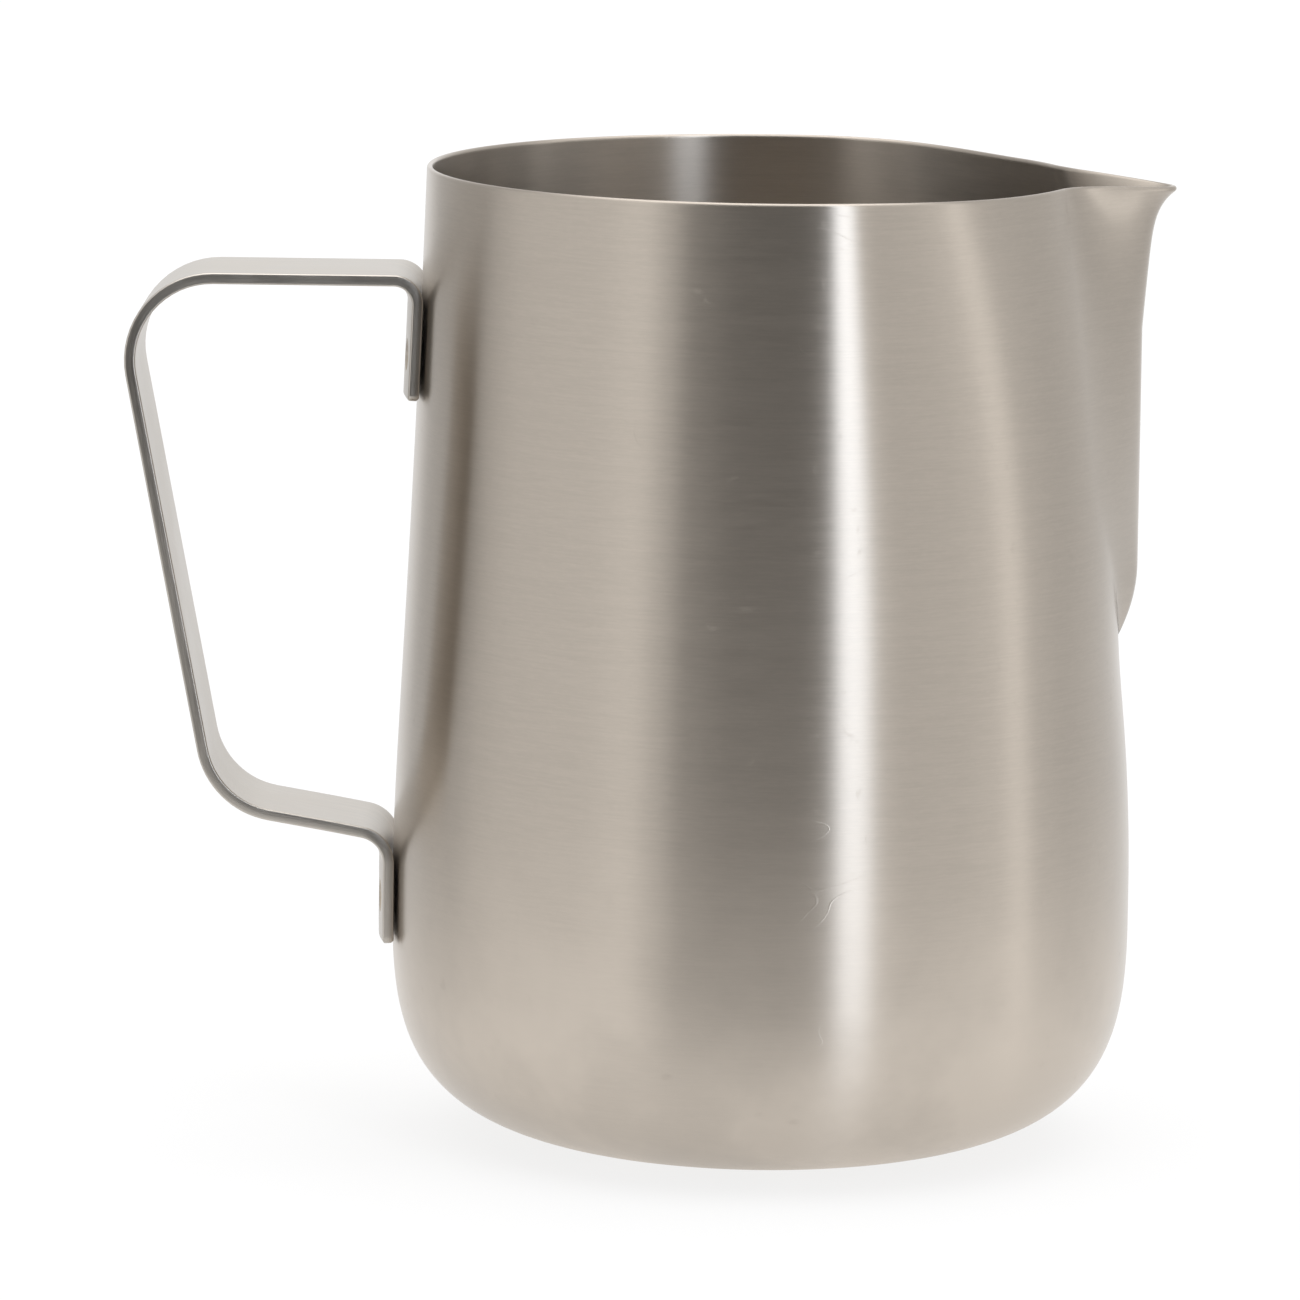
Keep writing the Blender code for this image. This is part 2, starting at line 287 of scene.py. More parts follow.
def ease(share):
    """Smooth step: 3 s squared less 2 s cubed, with s held between nought and one."""
    share = np.clip(share, 0.0, 1.0)
    return share * share * (3.0 - 2.0 * share)


def unit(vectors):
    """Vectors divided by their own lengths."""
    lengths = np.linalg.norm(vectors, axis=-1, keepdims=True)
    return vectors / np.maximum(lengths, 1e-12)


def lower_wall(t):
    """Radius and height along the lower cubic, from the flat base to the belly."""
    radius = cubic(t, BASE_RADIUS, BASE_RADIUS + BASE_HANDLE, BELLY_RADIUS, BELLY_RADIUS)
    return radius, cubic(t, 0.0, 0.0, BELLY_HEIGHT - BELLY_HANDLE_DOWN, BELLY_HEIGHT)


def wall_curve(jug):
    """Radius and height along the whole turned wall, base to rim: the lower cubic, then the upper one."""
    t = np.linspace(0.0, 1.0, CURVE_SAMPLES)
    low_radius, low_height = lower_wall(t)
    lean_radius = jug.rim_radius + RIM_LEAN * RIM_HANDLE
    high_radius = cubic(t, BELLY_RADIUS, BELLY_RADIUS, lean_radius, jug.rim_radius)
    high_height = cubic(t, BELLY_HEIGHT, BELLY_HEIGHT + BELLY_HANDLE_UP, jug.height - RIM_HANDLE, jug.height)
    radius = np.concatenate([low_radius, high_radius[1:]])
    height = np.concatenate([low_height, high_height[1:]])
    return radius, height


def wall_radius(jug, height):
    """Radius of the turned wall at a height, read off the wall's curve."""
    radius, heights = wall_curve(jug)
    return np.interp(height, heights, radius)


def wall_rows(jug):
    """Radius and height of each ring of the outer skin, base to rim, crowded at the point and the lip."""
    corner_radius, corner_height = lower_wall(np.linspace(0.0, 1.0, CORNER_ROWS, endpoint=False))
    foot = jug.height - jug.spout_length
    point_top = foot + SPOUT_POINT_LENGTH
    lip_foot = jug.height - LIP_LENGTH
    top = jug.height - jug.wall / 2
    heights = np.concatenate(
        [
            np.linspace(BELLY_HEIGHT, foot, TAPER_ROWS, endpoint=False),
            foot + SPOUT_POINT_LENGTH * np.linspace(0.0, 1.0, POINT_ROWS, endpoint=False) ** POINT_ROW_POWER,
            np.linspace(point_top, lip_foot, CHANNEL_ROWS, endpoint=False),
            top - (top - lip_foot) * np.linspace(1.0, 0.0, LIP_ROWS) ** LIP_ROW_POWER,
        ]
    )
    flat = np.linspace(0.0, 1.0, BASE_ROWS + 1)[1:-1] * BASE_RADIUS
    radius = np.concatenate([flat, corner_radius, wall_radius(jug, heights)])
    height = np.concatenate([np.zeros_like(flat), corner_height, heights])
    return radius, height


def spout_share(jug, height, angle, radius):
    """Share of the ridge's standoff: one on the ridge, nought at the channel's foot.

    The distance across the channel, rounded off near the ridge, is taken from one and raised to a
    power. The power is low near the spout's point, where the fold is crisp, and higher above it.
    """
    foot = jug.height - jug.spout_length
    rise = np.clip((height - foot) / SPOUT_POINT_LENGTH, 0.0, 1.0)
    half_width = jug.spout_half_width * (1.0 - (1.0 - rise) ** POINT_POWER)
    reach = np.maximum(half_width, 0.00001) / np.maximum(radius, jug.rim_radius)
    across = np.clip(np.abs(angle) / reach, 0.0, 1.0)
    soft = np.sqrt(across**2 + RIDGE_SOFTNESS**2) - RIDGE_SOFTNESS
    full = math.sqrt(1.0 + RIDGE_SOFTNESS**2) - RIDGE_SOFTNESS
    power = CREASE_POWER + (BLEND_POWER - CREASE_POWER) * ease(rise)
    return (1.0 - soft / full) ** power


def jug_skin(jug, radius, height, turn):
    """Outer skin as a grid of rings: the turned wall, with the spout drawn out of it.

    Each point's distance from the axis is the turned radius, less the pull on the rim and the dip at
    the spout's foot, and moved towards the ridge by the spout's share. Its angle is the turn less a
    part of its own sine, which crowds the grid at the spout. The lip droops with the square of its rise.
    """
    radius, turn = np.broadcast_arrays(radius[:, None], turn[None, :])
    height = np.broadcast_to(height[:, None], turn.shape)
    angle = turn - SPOUT_CROWDING * np.sin(turn)
    foot = jug.height - jug.spout_length
    share = spout_share(jug, height, angle, radius)
    lip = np.clip((height - jug.height + LIP_LENGTH) / LIP_LENGTH, 0.0, 1.0)
    onset = np.clip((height - foot) / SPOUT_ONSET, 0.0, 1.0)
    drawn_out = 1.0 - (1.0 - onset) ** ONSET_POWER
    ridge = wall_radius(jug, foot) - jug.foot_dip * (1.0 - drawn_out) + jug.spout_depth * drawn_out
    ridge = ridge + jug.lip_flare * lip + jug.lip_curl * lip**CURL_POWER
    fade = np.clip((height - jug.height + RIM_PULL_LENGTH) / RIM_PULL_LENGTH, 0.0, 1.0) ** 2
    aside = np.clip((np.abs(angle) - RIM_PULL_ANGLE) / RIM_PULL_SPREAD, 0.0, 1.0)
    beside = np.cos(aside * math.pi / 2) ** 2 * (1.0 - share)
    from_foot = ((height - foot) / FOOT_DIP_LENGTH) ** 2 + (angle / FOOT_DIP_SPREAD) ** 2
    dip = jug.foot_dip * np.exp(-from_foot)
    sides = radius - jug.rim_pull * fade * beside - dip * (1.0 - share)
    drawn = np.where(height > foot, sides + (ridge - radius) * share, radius - dip)
    drawn = np.where(radius > BASE_RADIUS, drawn, radius)
    sunk = height - lip**2 * (jug.lip_droop * share + jug.rim_dip * beside)
    return np.stack([drawn * np.cos(angle), drawn * np.sin(angle), sunk], axis=-1)


def ring_normals(grid):
    """Outward normals of a grid of rings: the way round crossed with the way up."""
    around = np.roll(grid, -1, axis=1) - np.roll(grid, 1, axis=1)
    along = np.gradient(grid, axis=0)
    return unit(np.cross(around, along))


def arc_lengths(grid):
    """Distance along the first axis of a grid, measured down its middle column."""
    line = grid[:, grid.shape[1] // 2]
    return np.concatenate([[0.0], np.cumsum(np.linalg.norm(np.diff(line, axis=0), axis=1))])


def signed_volume(points, faces):
    """Volume inside a mesh: a sixth of the triple products of its triangles, negative if it is inside out."""
    total = 0.0
    for corners in faces:
        for second in range(1, corners.shape[1] - 1):
            a, b, c = points[corners[:, 0]], points[corners[:, second]], points[corners[:, second + 1]]
            total += float(np.einsum("ij,ij->", a, np.cross(b, c))) / 6.0
    return total


def put_mesh(name, points, face_groups, uv_groups, uv_name):
    """A shaded mesh object at the origin from arrays of points, faces and their UVs."""
    if signed_volume(points, face_groups) <= 0.0:
        raise RuntimeError(f"{name} is inside out")
    mesh = bpy.data.meshes.new(name)
    faces = [face for group in face_groups for face in group.tolist()]
    mesh.from_pydata(points, [], faces)
    layer = mesh.uv_layers.new(name=uv_name)
    loops = np.concatenate([group.reshape(-1, 2) for group in uv_groups])
    layer.uv.foreach_set("vector", loops.astype(np.float32).ravel())
    mesh.shade_smooth()
    mesh.validate()
    piece = bpy.data.objects.new(name, mesh)
    bpy.context.scene.collection.objects.link(piece)
    return piece


def ring_faces(rows, columns, first=0):
    """Quads between each ring and the next, as indices and as (row, column) pairs with the seam kept open."""
    row, column = np.meshgrid(np.arange(rows - 1), np.arange(columns), indexing="ij")
    rows_of = np.stack([row, row, row + 1, row + 1], axis=-1).reshape(-1, 4)
    columns_of = np.stack([column, column + 1, column + 1, column], axis=-1).reshape(-1, 4)
    return first + rows_of * columns + columns_of % columns, rows_of, columns_of


# ---------------------------------------------------------------- the pieces


def shape_jug(jug):
    """The whole jug as one closed skin: base, outer wall, rounded rim, inner wall and floor.

    The inner skin is the outer one moved in by the wall along its normals. The rim is a half circle
    that turns from the outward normal, over the way up, to the inward normal.
    """
    radius, height = wall_rows(jug)
    turn = np.linspace(-math.pi, math.pi, AROUND, endpoint=False)
    outer = jug_skin(jug, radius, height, turn)
    normal = ring_normals(outer)
    flat = radius <= BASE_RADIUS
    normal[flat] = (0.0, 0.0, -1.0)
    inner = outer - jug.wall * normal
    across = normal[-1]
    upward = outer[-1] - outer[-2]
    upward = unit(upward - across * np.sum(upward * across, axis=-1, keepdims=True))
    centre = outer[-1] - across * jug.wall / 2
    sweep = np.linspace(0.0, math.pi, RIM_ROWS + 2)[1:-1, None, None]
    rim = centre + jug.wall / 2 * (across * np.cos(sweep) + upward * np.sin(sweep))
    rings = np.concatenate([outer, rim, inner[::-1]])
    rows = len(rings)
    poles = np.array([[0.0, 0.0, 0.0], [0.0, 0.0, jug.wall]])
    points = np.concatenate([rings.reshape(-1, 3), poles])
    quads, rows_of, columns_of = ring_faces(rows, AROUND)
    column = np.arange(AROUND)
    after = (column + 1) % AROUND
    under = np.stack([np.full(AROUND, rows * AROUND), after, column], axis=-1)
    last = (rows - 1) * AROUND
    inside = np.stack([np.full(AROUND, rows * AROUND + 1), last + column, last + after], axis=-1)
    length = arc_lengths(rings)
    quad_uvs = np.stack([length[rows_of], columns_of / AROUND], axis=-1)
    round_at = np.stack([column + 0.5, column + 1.0, column], axis=-1) / AROUND
    under_uvs = np.stack([np.tile([-BASE_RADIUS / BASE_ROWS, 0.0, 0.0], (AROUND, 1)), round_at], axis=-1)
    round_in = np.stack([column + 0.5, column, column + 1.0], axis=-1) / AROUND
    end = length[-1]
    in_uvs = np.stack([np.tile([end + BASE_RADIUS / BASE_ROWS, end, end], (AROUND, 1)), round_in], axis=-1)
    return points, [quads, under, inside], [quad_uvs, under_uvs, in_uvs]


def crossing(point, way, other_point, other_way):
    """Where two lines in a plane cross."""
    matrix = np.array([way, (-other_way[0], -other_way[1])]).T
    along = np.linalg.solve(matrix, np.subtract(other_point, point))[0]
    return np.add(point, np.multiply(way, along))


def strap_corners(jug, strap):
    """The strap's two ends and its four corners, as (x, z) points in the middle of its thickness."""
    standoff = TAB_GAP + strap.thickness / 2
    run = strap.run_top - strap.thickness / 2
    upper_x = -(wall_radius(jug, run - UPPER_TAB_BEND) + standoff)
    lower_x = -(wall_radius(jug, strap.lower_run_height - LOWER_TAB_BEND) + standoff)
    grip_top = np.array([-(BELLY_RADIUS + GRIP_REACH), run])
    lower_start = np.array([lower_x, strap.lower_run_height])
    grip_way = (math.sin(GRIP_LEAN), -math.cos(GRIP_LEAN))
    lower_way = (-math.cos(LOWER_RUN_SLOPE), math.sin(LOWER_RUN_SLOPE))
    grip_bottom = crossing(grip_top, grip_way, lower_start, lower_way)
    upper_end = np.array([upper_x, run - UPPER_TAB_LENGTH])
    lower_end = np.array([lower_x, strap.lower_run_height - LOWER_TAB_LENGTH])
    return [upper_end, np.array([upper_x, run]), grip_top, grip_bottom, lower_start, lower_end]


def straight(start, end, step):
    """Points on a straight stretch, no further apart than the step, without its last point."""
    count = max(2, math.ceil(np.linalg.norm(end - start) / step))
    share = np.linspace(0.0, 1.0, count, endpoint=False)[:, None]
    return start + (end - start) * share


def strap_path(jug, strap):
    """The strap's middle line: straight stretches joined by round bends, with its tabs laid along the wall.

    Each bend turns the radius at its first point into the radius at its last point in equal steps.
    """
    corners = strap_corners(jug, strap)
    radii = (UPPER_TAB_BEND, GRIP_BEND_RADIUS, GRIP_BEND_RADIUS, LOWER_TAB_BEND)
    path = []
    start = corners[0]
    for index, radius in enumerate(radii, start=1):
        corner = corners[index]
        back = unit(corners[index - 1] - corner)
        ahead = unit(corners[index + 1] - corner)
        half = math.acos(float(np.clip(back @ ahead, -1.0, 1.0))) / 2
        tangent = radius / math.tan(half)
        centre = corner + unit(back + ahead) * radius / math.sin(half)
        sweep = math.pi - 2 * half
        turn = np.linspace(0.0, sweep, BEND_STEPS, endpoint=False)[:, None]
        first = corner + back * tangent - centre
        last = corner + ahead * tangent - centre
        path.append(straight(start, corner + back * tangent, STRAIGHT_STEPS[index - 1]))
        path.append(centre + (first * np.sin(sweep - turn) + last * np.sin(turn)) / math.sin(sweep))
        start = corner + ahead * tangent
    path.append(straight(start, corners[-1], STRAIGHT_STEPS[-1]))
    path.append(corners[-1][None, :])
    path = np.concatenate(path)
    along = np.concatenate([[0.0], np.cumsum(np.linalg.norm(np.diff(path, axis=0), axis=1))])
    left = along[-1] - along
    on_tab = (along < UPPER_TAB_LENGTH - UPPER_TAB_BEND) | (left < LOWER_TAB_LENGTH - LOWER_TAB_BEND)
    beside_wall = -(wall_radius(jug, path[:, 1]) + TAB_GAP + strap.thickness / 2)
    path[:, 0] = np.where(on_tab, beside_wall, path[:, 0])
    return path, along, left


def strap_section(strap):
    """The upper half of the strap's cross-section, edge to edge: across and lift, with rounded corners."""
    half, rise, edge = strap.width / 2, strap.thickness / 2, strap.edge_radius
    bend = np.linspace(0.0, math.pi / 2, EDGE_STEPS)
    near_across = -half + edge * (1.0 - np.cos(bend))
    near_lift = rise - edge + edge * np.sin(bend)
    flat = np.linspace(-half + edge, half - edge, FACE_STEPS)[1:-1]
    across = np.concatenate([near_across, flat, -near_across[::-1]])
    lift = np.concatenate([near_lift, np.full_like(flat, rise), near_lift[::-1]])
    return across, lift


def weld_places(jug, strap):
    """Height, side, and distance from the axis, of the four welds, by name."""
    upper_end = strap.run_top - strap.thickness / 2 - UPPER_TAB_LENGTH
    lower_end = strap.lower_run_height - LOWER_TAB_LENGTH
    places = {}
    for tab, end in (("upper", upper_end), ("lower", lower_end)):
        for hand, side in (("left", 1), ("right", -1)):
            height = end + WELD_TO_TAB_END
            distance = float(wall_radius(jug, height)) + TAB_GAP + strap.thickness / 2
            places[f"{tab}_weld_{hand}"] = (height, side, distance)
    return places


def shape_strap(jug, strap):
    """The strap: its section carried along its path and bent round the jug at the tabs.

    A point of the middle sheet is the path's point, moved towards the jug by the sag of the wall's
    circle at its distance across, times a weight that fades from the tabs to the grip. The section's
    lift is added along the sheet's normal. The welds press shallow bowls, falling off with the fourth
    power of the distance, into the outer face. Both ends are rounded over by rings that move in.
    """
    path, along, left = strap_path(jug, strap)
    across, lift = strap_section(strap)
    across = np.concatenate([across, across[::-1]])
    lift = np.concatenate([lift, -lift[::-1]])
    columns = len(across)
    past_upper = along - UPPER_TAB_LENGTH - UPPER_TAB_BEND
    past_lower = left - LOWER_TAB_LENGTH - LOWER_TAB_BEND
    weight = 1.0 - ease(np.minimum(past_upper, past_lower) / SADDLE_FADE)
    bend_radius = np.where(along < along[-1] / 2, -path[0, 0], -path[-1, 0])
    to_end = np.minimum(along, left)
    corner = strap.corner_radius
    cut = np.maximum(corner - to_end, 0.0)
    trim = corner - np.sqrt(np.maximum(corner**2 - cut**2, 0.0))
    narrow = (strap.width / 2 - trim) / (strap.width / 2)
    edge = np.maximum(strap.edge_radius - to_end, 0.0)
    thin = strap.edge_radius - np.sqrt(np.maximum(strap.edge_radius**2 - edge**2, 0.0))
    flatten = (strap.thickness / 2 - thin) / (strap.thickness / 2)
    y = across[None, :] * narrow[:, None]
    raised = lift[None, :] * flatten[:, None]
    sag = bend_radius[:, None] - np.sqrt(bend_radius[:, None] ** 2 - y**2)
    level = np.broadcast_to(path[:, 1:], y.shape)
    middle = np.stack([path[:, :1] + weight[:, None] * sag, y, level], axis=-1)
    down = np.gradient(path, axis=0)
    down = np.stack([down[:, 0], np.zeros(len(path)), down[:, 1]], axis=-1)[:, None, :]
    slope = weight[:, None] * y / np.sqrt(bend_radius[:, None] ** 2 - y**2)
    sideways = np.stack([slope, np.ones_like(slope), np.zeros_like(slope)], axis=-1)
    normal = unit(np.cross(sideways, np.broadcast_to(down, middle.shape)))
    points = middle + normal * raised[..., None]
    on_outer = raised * np.sign(normal[..., 0] * -1.0) > 0.0
    for height, side, distance in weld_places(jug, strap).values():
        spot_y = side * WELD_SPACING / 2
        off = np.hypot(points[..., 1] - spot_y, points[..., 2] - height) / (strap.weld_radius * PRESS_SPREAD)
        on_tab = np.abs(-points[..., 0] - distance) < PRESS_REACH
        press = strap.weld_depth * np.exp(-(off**4)) * on_outer * on_tab
        points = points - normal * (np.sign(raised) * press)[..., None]
    quads, rows_of, columns_of = ring_faces(len(path), columns)
    pair = np.arange(columns // 2 - 1)
    cap = np.stack([pair, pair + 1, columns - 2 - pair, columns - 1 - pair], axis=-1)
    start_cap = cap[:, ::-1]
    end_cap = (len(path) - 1) * columns + cap
    width_at = np.concatenate([[0.0], np.cumsum(np.hypot(np.diff(across), np.diff(lift)))])
    width_at = np.append(width_at, width_at[-1] + strap.thickness)
    quad_uvs = np.stack([along[rows_of], width_at[columns_of]], axis=-1)
    cap_across = np.stack([across[pair], across[pair + 1], across[pair + 1], across[pair]], axis=-1)
    cap_lift = np.stack([lift[pair], lift[pair + 1], -lift[pair + 1], -lift[pair]], axis=-1)
    start_uvs = np.stack([-cap_lift, cap_across], axis=-1)[:, ::-1]
    end_uvs = np.stack([along[-1] + cap_lift, cap_across], axis=-1)
    return points.reshape(-1, 3), [quads, start_cap, end_cap], [quad_uvs, start_uvs, end_uvs]


def shape_weld(jug, strap, height, side, distance):
    """A weld's mark: a disc with a raised ring round a shallow bowl, sunk in the tab.

    The face's height over the disc is a bell-shaped ring at four fifths of the radius, less a bowl
    that falls as one less the square of the radius. Its own axis stands square to the wall.
    """
    share = np.linspace(0.0, 1.0, DISC_ROWS + 1)[1:]
    ring = RING_RISE * np.exp(-(((share - RING_PLACE) / RING_SPREAD) ** 2))
    face = ring - BOWL_DEPTH * (1.0 - share**2)
    radius = np.concatenate([share, [1.0], share[::-1][1:]]) * strap.weld_radius
    rise = np.concatenate([face, np.full(DISC_ROWS, -SKIRT)])
    turn = np.linspace(0.0, 2 * math.pi, DISC_SIDES, endpoint=False)
    rings = np.stack(
        [
            radius[:, None] * np.cos(turn),
            radius[:, None] * np.sin(turn),
            np.broadcast_to(rise[:, None], (len(radius), DISC_SIDES)),
        ],
        axis=-1,
    )
    rows = len(rings)
    poles = np.array([[0.0, 0.0, -BOWL_DEPTH], [0.0, 0.0, -SKIRT]])
    points = np.concatenate([rings.reshape(-1, 3), poles])
    quads, rows_of, columns_of = ring_faces(rows, DISC_SIDES)
    quads = quads[:, ::-1]
    column = np.arange(DISC_SIDES)
    after = (column + 1) % DISC_SIDES
    top = np.stack([np.full(DISC_SIDES, rows * DISC_SIDES), column, after], axis=-1)
    last = (rows - 1) * DISC_SIDES
    bottom = np.stack([np.full(DISC_SIDES, rows * DISC_SIDES + 1), last + after, last + column], axis=-1)
    flat = points[:, :2]
    uvs = [flat[quads], flat[top], flat[bottom]]
    reach = 1.0 * MM
    lean = math.atan(float(wall_radius(jug, height + reach) - wall_radius(jug, height - reach)) / (2 * reach))
    angle = math.pi - side * math.asin(WELD_SPACING / 2 / distance)
    out = distance + strap.thickness / 2 - strap.weld_depth + BOWL_DEPTH
    spot = Vector((out * math.cos(angle), out * math.sin(angle), height))
    upright = Matrix.Rotation(math.pi / 2 + lean, 4, "Y")
    place = np.array(Matrix.Translation(spot) @ Matrix.Rotation(angle, 4, "Z") @ upright)
    points = points @ place[:3, :3].T + place[:3, 3]
    return points, [quads, top, bottom], uvs


# ---------------------------------------------------------------- finishes


# Brushing lines are level beyond this distance from the axis, and rings within it.
LEVEL_FROM = 36.0 * MM

# The steel is painted paler over this band of heights: a painted reflection of the floor, mottled like wear.
FLOOR_GLEAM_BOTTOM = 4.0 * MM
FLOOR_GLEAM_TOP = 50.0 * MM
GLEAM_AND_FLECK_GAIN = 1.32


def add_node(tree, kind, place=(0, 0), **values):
    """A node with its settings, and its input values by name or number."""
    node = tree.nodes.new(kind)
    node.location = place
    for name, value in values.items():
        setattr(node, name, value)
    return node


def join(tree, output, socket):
    """Link an output to an input."""
    tree.links.new(output, socket)


def arithmetic(tree, operation, first, second=None, third=None):
    """A Math node fed by sockets or numbers; returns its output."""
    node = add_node(tree, "ShaderNodeMath", operation=operation)
    for index, value in enumerate((first, second, third)):
        if value is None:
            continue
        if hasattr(value, "is_linked"):
            join(tree, value, node.inputs[index])
        else:
            node.inputs[index].default_value = value
    return node.outputs[0]


def remap(tree, value, low, high, to_low, to_high):
    """A Map Range node, clamped, with a smooth step; returns its output."""
    node = add_node(tree, "ShaderNodeMapRange", interpolation_type="SMOOTHSTEP")
    join(tree, value, node.inputs["Value"])
    node.inputs["From Min"].default_value = low
    node.inputs["From Max"].default_value = high
    node.inputs["To Min"].default_value = to_low
    node.inputs["To Max"].default_value = to_high
    return node.outputs["Result"]


def noise(tree, vector, scale, detail=2.0, roughness=0.5):
    """A noise texture's value on a vector."""
    node = add_node(tree, "ShaderNodeTexNoise")
    join(tree, vector, node.inputs["Vector"])
    node.inputs["Scale"].default_value = scale
    node.inputs["Detail"].default_value = detail
    node.inputs["Roughness"].default_value = roughness
    return node.outputs["Fac"]


def stretched(tree, vector, scales):
    """A vector times three numbers."""
    node = add_node(tree, "ShaderNodeVectorMath", operation="MULTIPLY")
    join(tree, vector, node.inputs[0])
    node.inputs[1].default_value = scales
    return node.outputs["Vector"]


def new_group(name, inputs, outputs):
    """An empty shader group with named sockets; returns the tree, its input node and its output node."""
    tree = bpy.data.node_groups.new(name, "ShaderNodeTree")
    for label, kind, value in inputs:
        socket = tree.interface.new_socket(label, in_out="INPUT", socket_type=kind)
        if value is not None:
            socket.default_value = value
    for label, kind in outputs:
        tree.interface.new_socket(label, in_out="OUTPUT", socket_type=kind)
    return tree, tree.nodes.new("NodeGroupInput"), tree.nodes.new("NodeGroupOutput")


def brushing_group():
    """Lines left by a brush: noise stretched along the first two axes of its vector, fine and broad mixed.

    The vector's third axis runs across the lines. Height is for a bump, Streak for colour and roughness.
    """
    name = "brushed_lines"
    if name in bpy.data.node_groups:
        return bpy.data.node_groups[name]
    tree, entry, leave = new_group(
        name,
        [
            ("Vector", "NodeSocketVector", None),
            ("Fineness", "NodeSocketFloat", 1.0),
            ("Depth", "NodeSocketFloat", 1.0),
        ],
        [("Height", "NodeSocketFloat"), ("Streak", "NodeSocketFloat"), ("Fleck", "NodeSocketFloat")],
    )
    scaled = add_node(tree, "ShaderNodeVectorMath", operation="SCALE")
    join(tree, entry.outputs["Vector"], scaled.inputs[0])
    join(tree, entry.outputs["Fineness"], scaled.inputs["Scale"])
    vector = scaled.outputs["Vector"]
    hair = noise(tree, stretched(tree, vector, (260.0, 260.0, 5200.0)), 1.0, 3.0, 0.62)
    line = noise(tree, stretched(tree, vector, (60.0, 60.0, 1500.0)), 1.0, 3.0, 0.6)
    fleck = noise(tree, stretched(tree, vector, (900.0, 900.0, 3600.0)), 1.0, 2.0, 0.7)
    mixed = arithmetic(tree, "MULTIPLY_ADD", hair, 0.6, arithmetic(tree, "MULTIPLY", line, 0.4))
    height = arithmetic(tree, "MULTIPLY", mixed, entry.outputs["Depth"])
    join(tree, height, leave.inputs["Height"])
    join(tree, remap(tree, mixed, 0.35, 0.65, 0.0, 1.0), leave.inputs["Streak"])
    join(tree, remap(tree, fleck, 0.42, 0.72, 0.0, 1.0), leave.inputs["Fleck"])
    return tree


def handling_group():
    """Marks of use: a soft cloud of wiped areas, small dull spots, and a few long fine scratches."""
    name = "handling_marks"
    if name in bpy.data.node_groups:
        return bpy.data.node_groups[name]
    tree, entry, leave = new_group(
        name,
        [("Vector", "NodeSocketVector", None), ("Spread", "NodeSocketFloat", 1.0)],
        [("Cloud", "NodeSocketFloat"), ("Spots", "NodeSocketFloat"), ("Scratch", "NodeSocketFloat")],
    )
    scaled = add_node(tree, "ShaderNodeVectorMath", operation="SCALE")
    join(tree, entry.outputs["Vector"], scaled.inputs[0])
    join(tree, entry.outputs["Spread"], scaled.inputs["Scale"])
    vector = scaled.outputs["Vector"]
    cloud = noise(tree, vector, 42.0, 4.0, 0.58)
    spot = noise(tree, vector, 620.0, 2.0, 0.5)
    bent = add_node(tree, "ShaderNodeVectorMath", operation="ADD")
    join(tree, vector, bent.inputs[0])
    warp = add_node(tree, "ShaderNodeTexNoise")
    warp.inputs["Scale"].default_value = 30.0
    join(tree, vector, warp.inputs["Vector"])
    bend = add_node(tree, "ShaderNodeVectorMath", operation="SCALE")
    join(tree, warp.outputs["Color"], bend.inputs[0])
    bend.inputs["Scale"].default_value = 0.012
    join(tree, bend.outputs["Vector"], bent.inputs[1])
    crease = noise(tree, stretched(tree, bent.outputs["Vector"], (90.0, 90.0, 240.0)), 1.0, 0.0, 0.5)
    line = arithmetic(tree, "ABSOLUTE", arithmetic(tree, "SUBTRACT", crease, 0.5))
    thin = remap(tree, line, 0.0, 0.0035, 1.0, 0.0)
    broken = remap(tree, noise(tree, vector, 75.0, 1.0, 0.5), 0.56, 0.62, 0.0, 1.0)
    join(tree, remap(tree, cloud, 0.35, 0.68, 0.0, 1.0), leave.inputs["Cloud"])
    join(tree, remap(tree, spot, 0.66, 0.76, 0.0, 1.0), leave.inputs["Spots"])
    join(tree, arithmetic(tree, "MULTIPLY", thin, broken), leave.inputs["Scratch"])
    return tree


def place_group(tree, group, vector, **values):
    """A group in a material, fed by a vector and its own values."""
    node = add_node(tree, "ShaderNodeGroup")
    node.node_tree = group
    join(tree, vector, node.inputs["Vector"])
    for label, value in values.items():
        node.inputs[label].default_value = value
    return node


def turned_vector(tree):
    """Object coordinates whose height grows with the distance from the axis, so that lines run round."""
    place = add_node(tree, "ShaderNodeTexCoord").outputs["Object"]
    parts = add_node(tree, "ShaderNodeSeparateXYZ")
    join(tree, place, parts.inputs[0])
    flat = stretched(tree, place, (1.0, 1.0, 0.0))
    reach = add_node(tree, "ShaderNodeVectorMath", operation="LENGTH")
    join(tree, flat, reach.inputs[0])
    held = arithmetic(tree, "MINIMUM", reach.outputs["Value"], LEVEL_FROM)
    climb = arithmetic(tree, "MULTIPLY_ADD", held, 0.9, parts.outputs["Z"])
    combined = add_node(tree, "ShaderNodeCombineXYZ")
    join(tree, parts.outputs["X"], combined.inputs["X"])
    join(tree, parts.outputs["Y"], combined.inputs["Y"])
    join(tree, climb, combined.inputs["Z"])
    return combined.outputs["Vector"], place, parts.outputs["Z"]


def strip_vector(tree, uv_name):
    """The strap's own map as a vector: along the strip on the first axis, across it on the third."""
    node = add_node(tree, "ShaderNodeUVMap", uv_map=uv_name)
    parts = add_node(tree, "ShaderNodeSeparateXYZ")
    join(tree, node.outputs["UV"], parts.inputs[0])
    combined = add_node(tree, "ShaderNodeCombineXYZ")
    join(tree, parts.outputs["X"], combined.inputs["X"])
    join(tree, parts.outputs["Y"], combined.inputs["Z"])
    return combined.outputs["Vector"]


